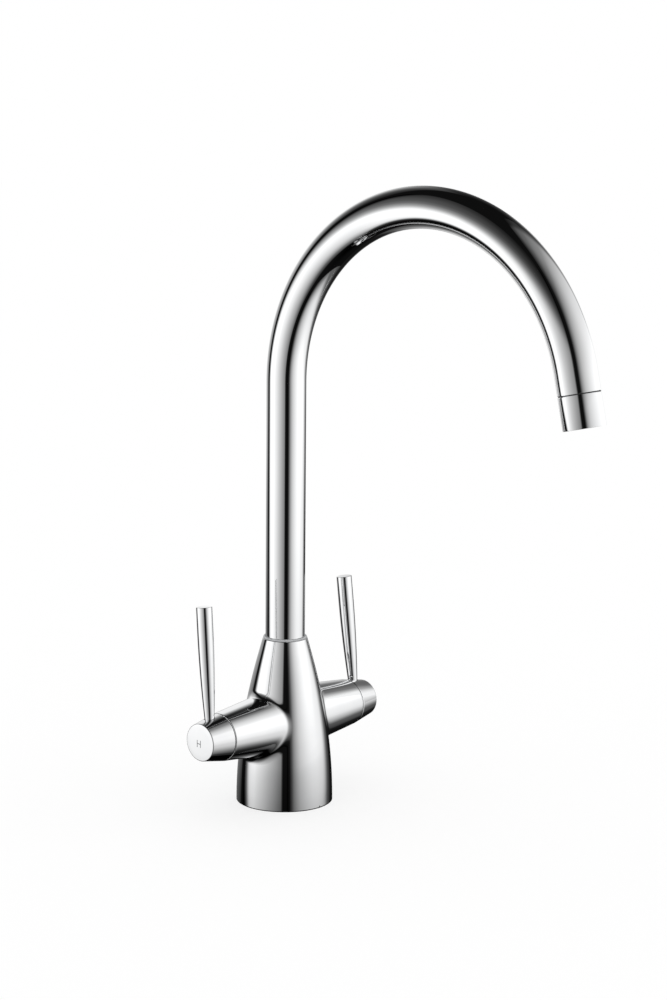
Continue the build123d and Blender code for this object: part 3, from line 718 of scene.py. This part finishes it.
# Levers: turned brass pins, plated, slim at the foot and swelling to a plain cylinder below a flat top.
# A stud on the foot screws into the hub's seat.
lever_reach = 0.073
lever_top_radius = 0.0044
lever_foot_radius = 0.00265
lever_taper_length = 0.050
lever_stud_radius = 0.0020
lever_stud_length = 0.0054
lever_edge = 0.0003
lever_columns = 72
taper_rows = 44
edge_rows = 5
swell = lever_top_radius - lever_foot_radius
taper_curve = (lever_taper_length**2 + swell**2) / (2 * swell)
taper_height = np.linspace(0, lever_taper_length, taper_rows)
taper_rise = np.sqrt(taper_curve**2 - (lever_taper_length - taper_height) ** 2)
taper_radius = lever_top_radius - taper_curve + taper_rise
stud_end = lever_seat - lever_stud_length
edge_turn = np.linspace(0, pi / 2, edge_rows)
lever_height = np.concatenate(
    (
        (stud_end, stud_end, lever_seat),
        lever_seat + taper_height,
        lever_reach - lever_edge + lever_edge * np.sin(edge_turn),
        (lever_reach, lever_reach),
    )
)
lever_radius = np.concatenate(
    (
        (0.0, lever_stud_radius, lever_stud_radius),
        taper_radius,
        lever_top_radius - lever_edge + lever_edge * np.cos(edge_turn),
        (lever_top_radius / 2, 0.0),
    )
)
lever_turn = np.linspace(0, 2 * pi, lever_columns + 1)[:, None]
lever_upright = np.array((0.0, sin(lever_lean), cos(lever_lean)))
lever_outward = np.array((1.0, 0.0, 0.0))
lever_up = lever_upright * cos(lever_tilt) - lever_outward * sin(lever_tilt)
lever_across = lever_outward * cos(lever_tilt) + lever_upright * sin(lever_tilt)
lever_back = np.array((0.0, cos(lever_lean), -sin(lever_lean)))
lever_spokes = lever_across * np.cos(lever_turn) + lever_back * np.sin(lever_turn)
lever_sheet = (
    np.array((lever_place, 0.0, arm_height))
    + lever_height[:, None, None] * lever_up
    + lever_radius[:, None, None] * lever_spokes
)
for side, mirror in (("hot", other_half), ("cold", 1)):
    lever = skin(f"{side}_lever_pin", lever_sheet * mirror)
    lever.data.materials.append(handle_chrome)
    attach(lever, f"{side}_handle")
    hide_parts(f"{side}_lever")

# Hot and cold marks: one letter on the face of each hub, burnt into the plate with a laser. The beam leaves
# a film of matt grey that is hardly thick enough to feel.
mark_height = 0.0040
mark_width = 0.0029
mark_stroke = 0.00042
mark_sink = 0.00003
mark_proud = 0.00002
mark_shift = 0.0008
mark_place = np.array((0.0, mark_shift, arm_height - mark_shift))
bar_points = 6
bowl_gap = radians(48)
bowl_points = 40


def stroke(path):
    """A flat bar of the letter's stroke width along a path of points (across, up) on the hub's face,
    sunk a little into the face and closed at its ends."""
    ahead = np.gradient(path, axis=0)
    ahead /= np.linalg.norm(ahead, axis=1)[:, None]
    side = np.stack((-ahead[:, 1], ahead[:, 0]), axis=-1) * mark_stroke / 2
    low, high = hub_end - mark_sink, hub_end + mark_proud
    loop = ((-1, low), (1, low), (1, high), (-1, high), (-1, low))
    bar = np.stack(
        [np.column_stack((np.full(len(path), depth), path + way * side)) for way, depth in loop], axis=1
    )
    ends = [np.stack((row, np.broadcast_to(row[:4].mean(axis=0), row.shape))) for row in (bar[0], bar[-1])]
    return [sheet + mark_place for sheet in (bar, *ends)]


def burnt_mark(name):
    """Laser-darkened chrome: a matt grey film, uneven at the scale of the beam's passes."""
    material, shader, place = finish_of(name)
    shader.inputs["Metallic"].default_value = 0.6
    passes = grain(material, place, scale=5200.0, detail=2.0, stretch=(1.0, 1.0, 0.1))
    tinted(material, passes, shader, dark=(0.24, 0.24, 0.25), light=(0.36, 0.36, 0.37))
    roughened(material, passes, shader, low=0.45, high=0.65)
    return material


mark_grey = burnt_mark("laser_mark")
stem = np.linspace(-mark_height / 2, mark_height / 2, bar_points)
bar_end = mark_width / 2 - mark_stroke / 2
left_stem = np.column_stack((np.full_like(stem, -bar_end), stem))
cross_bar = np.column_stack((np.linspace(-bar_end, bar_end, bar_points), np.zeros_like(stem)))
bowl_turn = np.linspace(bowl_gap, 2 * pi - bowl_gap, bowl_points)
bowl_across = mark_width / 2 * np.cos(bowl_turn)
bowl_up = (mark_height - mark_stroke) / 2 * np.sin(bowl_turn)
bowl = np.column_stack((bowl_across, bowl_up))
for side, mirror, paths in (
    ("hot", other_half, (left_stem, left_stem * (-1, 1), cross_bar)),
    ("cold", 1, (bowl,)),
):
    mark = skin(f"{side}_mark", *(sheet * mirror for path in paths for sheet in stroke(path)))
    mark.data.materials.append(mark_grey)
    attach(mark, f"{side}_handle")

# Camera: at the photograph's place, in front of the tap, on its hot side and a little above it. Its place,
# aim and focal length were fitted to the photograph with the tube at its stock width.
photo_height = 1000
focal_pixels = 2339.9
camera_azimuth = radians(-46.769)
camera_distance = 1.27478
camera_height = 0.39744
camera_yaw = radians(-1.187)
camera_pitch = radians(-10.060)
camera_roll = radians(0.479)
near_clip = 0.01
heading = camera_azimuth + camera_yaw
level_right = Vector((cos(heading), sin(heading), 0))
ahead_x = -sin(heading) * cos(camera_pitch)
ahead_y = cos(heading) * cos(camera_pitch)
ahead = Vector((ahead_x, ahead_y, sin(camera_pitch)))
level_up = level_right.cross(ahead)
right = level_right * cos(camera_roll) + level_up * sin(camera_roll)
up = level_up * cos(camera_roll) - level_right * sin(camera_roll)
stand_x = sin(camera_azimuth) * camera_distance
stand_y = -cos(camera_azimuth) * camera_distance
stand = Vector((stand_x, stand_y, camera_height))
lens = bpy.data.cameras.new("photo_camera")
lens.sensor_fit = "VERTICAL"
lens.lens = focal_pixels / photo_height * lens.sensor_height
lens.clip_start = near_clip
camera = bpy.data.objects.new("photo_camera", lens)
camera.matrix_world = Matrix(
    (
        (right.x, up.x, -ahead.x, stand.x),
        (right.y, up.y, -ahead.y, stand.y),
        (right.z, up.z, -ahead.z, stand.z),
        (0, 0, 0, 1),
    )
)
bpy.context.scene.collection.objects.link(camera)
bpy.context.scene.camera = camera

# Floor: a plain pale sheet that the tap stands on. The camera sees it white, apart from the tap's soft
# shadow.
# Chrome sees the lit panels in it as in a glossy table, with a painted shadow round the foot: a little dimmed
# near the foot at a flat angle, and much dimmer at a steep one, where the table lies in the tap's own shade.
floor_share = 0.30
floor_columns = 180
floor_rows = 80
floor_near = 0.5
floor_far = (1.0, 2.0, 4.0, 8.0)
# Painted shade: the floor's tint for glossy rays, by radius from the tap, darker towards the foot at a flat
# and at a steep view.
flat_shade_tints = ((0.03, 0.62), (0.054, 0.70), (0.09, 0.76), (0.15, 0.84), (0.24, 0.96), (0.40, 1.0))
steep_shade_tints = (
    (0.035, 0.08), (0.048, 0.20), (0.060, 0.40), (0.078, 0.62), (0.110, 0.82), (0.15, 0.88), (0.24, 0.96),
    (0.40, 1.0),
)
steep_facing = 0.48
flat_facing = 0.68
floor_way = camera_azimuth + np.radians(np.linspace(-180, 180, floor_columns + 1))
floor_radius = np.append(np.linspace(0, floor_near, floor_rows + 1), floor_far)[:, None]
floor_x = floor_radius * np.sin(floor_way)
floor_y = -floor_radius * np.cos(floor_way)
floor = skin("floor", np.stack((floor_x, floor_y, np.zeros_like(floor_x)), axis=-1), weld=0.0)
for tint_name, tints in (("flat_shade_tint", flat_shade_tints), ("steep_shade_tint", steep_shade_tints)):
    tint = np.interp(floor_radius, *np.transpose(tints))
    tint_values = np.repeat(tint, floor_columns + 1).astype(np.float32)
    floor.data.attributes.new(tint_name, "FLOAT", "POINT").data.foreach_set("value", tint_values)
floor_paper, paper, _ = finish_of("white_paper")
floor_nodes = floor_paper.node_tree.nodes
floor_links = floor_paper.node_tree.links
paper.inputs["Base Color"].default_value = (floor_share, floor_share, floor_share, 1)
paper.inputs["Roughness"].default_value = 1.0
paper.inputs["Specular IOR Level"].default_value = 0.0
paper.inputs["Emission Color"].default_value = (1, 1, 1, 1)
floor_path = floor_nodes.new("ShaderNodeLightPath")
paper_glow = floor_nodes.new("ShaderNodeMath")
paper_glow.operation = "MULTIPLY"
paper_glow.inputs[1].default_value = 1 - floor_share
floor_links.new(floor_path.outputs["Is Camera Ray"], paper_glow.inputs[0])
floor_links.new(paper_glow.outputs["Value"], paper.inputs["Emission Strength"])
flat_view = floor_nodes.new("ShaderNodeAttribute")
flat_view.attribute_name = "flat_shade_tint"
steep_view = floor_nodes.new("ShaderNodeAttribute")
steep_view.attribute_name = "steep_shade_tint"
slant = floor_nodes.new("ShaderNodeLayerWeight")
slant_share = floor_nodes.new("ShaderNodeMapRange")
slant_share.inputs["From Min"].default_value = steep_facing
slant_share.inputs["From Max"].default_value = flat_facing
floor_links.new(slant.outputs["Facing"], slant_share.inputs["Value"])
slant_tint = floor_nodes.new("ShaderNodeMix")
floor_links.new(slant_share.outputs["Result"], slant_tint.inputs["Factor"])
floor_links.new(steep_view.outputs["Fac"], slant_tint.inputs["A"])
floor_links.new(flat_view.outputs["Fac"], slant_tint.inputs["B"])
# The glossy rays pass through the floor dimmed by this painted shade.
shade_tinted_glass = floor_nodes.new("ShaderNodeBsdfTransparent")
floor_links.new(slant_tint.outputs["Result"], shade_tinted_glass.inputs["Color"])
floor_face = floor_nodes.new("ShaderNodeMixShader")
floor_links.new(floor_path.outputs["Is Glossy Ray"], floor_face.inputs["Fac"])
floor_links.new(paper.outputs["BSDF"], floor_face.inputs[1])
floor_links.new(shade_tinted_glass.outputs["BSDF"], floor_face.inputs[2])
floor_links.new(floor_face.outputs["Shader"], floor_nodes["Material Output"].inputs["Surface"])
floor.data.materials.append(floor_paper)

# Studio: even light all round, and soft panels that show only in reflections: one on each side and one
# behind, which go on below the floor as their own images in it, and a card on the right, edge-on to the
# riser. The dark gap between the side panels, at the camera, gives the chrome its black band.
panel_columns = 180
panel_rows = 120
lean_height = 2 * body_height
panel_material = bpy.data.materials.new("lit_cloth")
panel_material.use_nodes = True
panel_nodes = panel_material.node_tree.nodes
panel_links = panel_material.node_tree.links
panel_level = panel_nodes.new("ShaderNodeAttribute")
panel_level.attribute_name = "light"
panel_glow = panel_nodes.new("ShaderNodeEmission")
panel_links.new(panel_level.outputs["Fac"], panel_glow.inputs["Strength"])
panel_links.new(panel_glow.outputs["Emission"], panel_nodes["Material Output"].inputs["Surface"])
panel_material.cycles.emission_sampling = "NONE"


def lit_panel(name, facing, distance, rise, lean, levels, fades, narrows):
    """A flat upright sheet square to a bearing, at a distance from the tap, that rises by so much a metre
    across. Its light is a level across it, by bearing in degrees, times a fade up it, by height in metres.
    Above the lean's height the levels lean to one side, by so many degrees a metre. Below it the fade is
    drawn in by a factor that goes by bearing. Bearings are degrees from the camera as seen from the tap,
    positive to the right."""
    bearings, level = np.transpose(levels)
    heights, fade = np.transpose(fades)
    bearing = np.linspace(bearings[0], bearings[-1], panel_columns + 1)
    height = np.linspace(heights[0], heights[-1], panel_rows + 1)[:, None]
    towards = camera_azimuth + np.radians(facing)
    across = distance * np.tan(np.radians(bearing - facing))
    place_x = distance * np.sin(towards) + across * np.cos(towards)
    place_y = -distance * np.cos(towards) + across * np.sin(towards)
    places = np.broadcast_arrays(place_x, place_y, height + rise * across)
    panel = skin(name, np.stack(places, axis=-1), weld=0.0)
    above = height - lean_height
    narrowed = np.minimum(above, 0) * (np.interp(bearing, *np.transpose(narrows)) - 1)
    leaning = bearing + lean * np.maximum(above, 0)
    light = np.interp(height + narrowed, heights, fade) * np.interp(leaning, bearings, level)
    light_values = light.ravel().astype(np.float32)
    panel.data.attributes.new("light", "FLOAT", "POINT").data.foreach_set("value", light_values)
    panel.visible_camera = False
    panel.visible_diffuse = False
    panel.visible_transmission = False
    panel.visible_shadow = False
    panel.data.materials.append(panel_material)


lit_panel(
    "left_panel",
    facing=-68,
    distance=0.45,
    rise=0.2,
    lean=0,
    levels=(
        (-116, 0), (-110, 0.06), (-105, 0.70), (-99, 1.20), (-76, 1.20), (-66, 1.04), (-54, 0.88),
        (-38, 0.64), (-22, 0.44), (-14, 0.34), (-9, 0.29), (-5, 0.03), (-3, 0),
    ),
    fades=(
        (-1.45, 0.03), (-0.70, 0.25), (-0.37, 0.62), (-0.17, 0.84), (-0.05, 0.90), (0.10, 1.0),
        (0.27, 1.0), (0.30, 0.90), (0.34, 0.68), (0.38, 0.47), (0.43, 0.30), (0.52, 0.14),
        (0.63, 0.08), (0.90, 0.04), (1.20, 0.02),
    ),
    narrows=((-110, 6.0), (-104, 5.0), (-98, 3.0), (-92, 1.6), (-85, 1.0)),
)
lit_panel(
    "right_panel",
    facing=72,
    distance=0.40,
    rise=0.1,
    lean=10,
    levels=(
        (6, 0), (13, 0.01), (18, 0.09), (23, 0.27), (30, 0.47), (38, 0.68), (46, 0.82), (54, 0.95),
        (62, 1.06), (70, 1.14), (80, 1.18), (114, 1.18), (120, 1.06), (126, 0.84), (132, 0.56), (140, 0.36),
    ),
    fades=(
        (-1.00, 0.12), (-0.70, 0.27), (-0.47, 0.50), (-0.25, 0.74), (-0.12, 0.80), (0.0, 0.85),
        (0.10, 1.0), (0.30, 0.97), (0.35, 0.82), (0.40, 0.73), (0.45, 0.67), (0.53, 0.54),
        (0.62, 0.41), (0.78, 0.23), (1.20, 0.12), (2.00, 0.05), (3.20, 0.01),
    ),
    narrows=((88, 1.0), (104, 1.5), (112, 1.9), (120, 2.5), (130, 3.0)),
)
lit_panel(
    "back_panel",
    facing=180,
    distance=0.60,
    rise=0.0,
    lean=0,
    levels=(
        (130, 0.48), (138, 0.32), (144, 0.19), (150, 0.14), (162, 0.13), (168, 0.18), (173, 0.45),
        (178, 0.80), (184, 0.95), (192, 0.90), (200, 0.76), (206, 0.62), (215, 0.49), (225, 0.37),
        (232, 0.25), (236, 0),
    ),
    fades=(
        (-0.60, 0.06), (-0.30, 0.14), (-0.12, 0.35), (0.02, 0.70), (0.11, 1.05), (0.20, 1.05),
        (0.43, 1.0), (0.52, 0.75), (0.58, 0.55), (0.65, 0.38), (0.72, 0.24), (0.90, 0.10), (1.20, 0.03),
    ),
    narrows=((134, 1.0), (144, 2.5), (166, 2.5), (173, 1.0)),
)
lit_panel(
    "edge_card",
    facing=32,
    distance=0.02,
    rise=0.0,
    lean=0,
    levels=((115.5, 1.0), (120.2, 1.0)),
    fades=((0.02, 0.5), (0.08, 1.0), (0.30, 1.0), (0.36, 0.5), (0.40, 0.25)),
    narrows=((115.5, 1.0), (120.2, 1.0)),
)
room_dark = 0.005
studio = bpy.data.worlds.new("studio")
bpy.context.scene.world = studio
studio.use_nodes = True
studio.cycles.sampling_method = "NONE"
air = studio.node_tree
air_path = air.nodes.new("ShaderNodeLightPath")
room = air.nodes.new("ShaderNodeMix")
room.data_type = "RGBA"
room.inputs["A"].default_value = (1, 1, 1, 1)
room.inputs["B"].default_value = (room_dark, room_dark, room_dark, 1)
air.links.new(air_path.outputs["Is Glossy Ray"], room.inputs["Factor"])
air.links.new(room.outputs["Result"], air.nodes["Background"].inputs["Color"])

bpy.context.scene.view_settings.view_transform = "Standard"
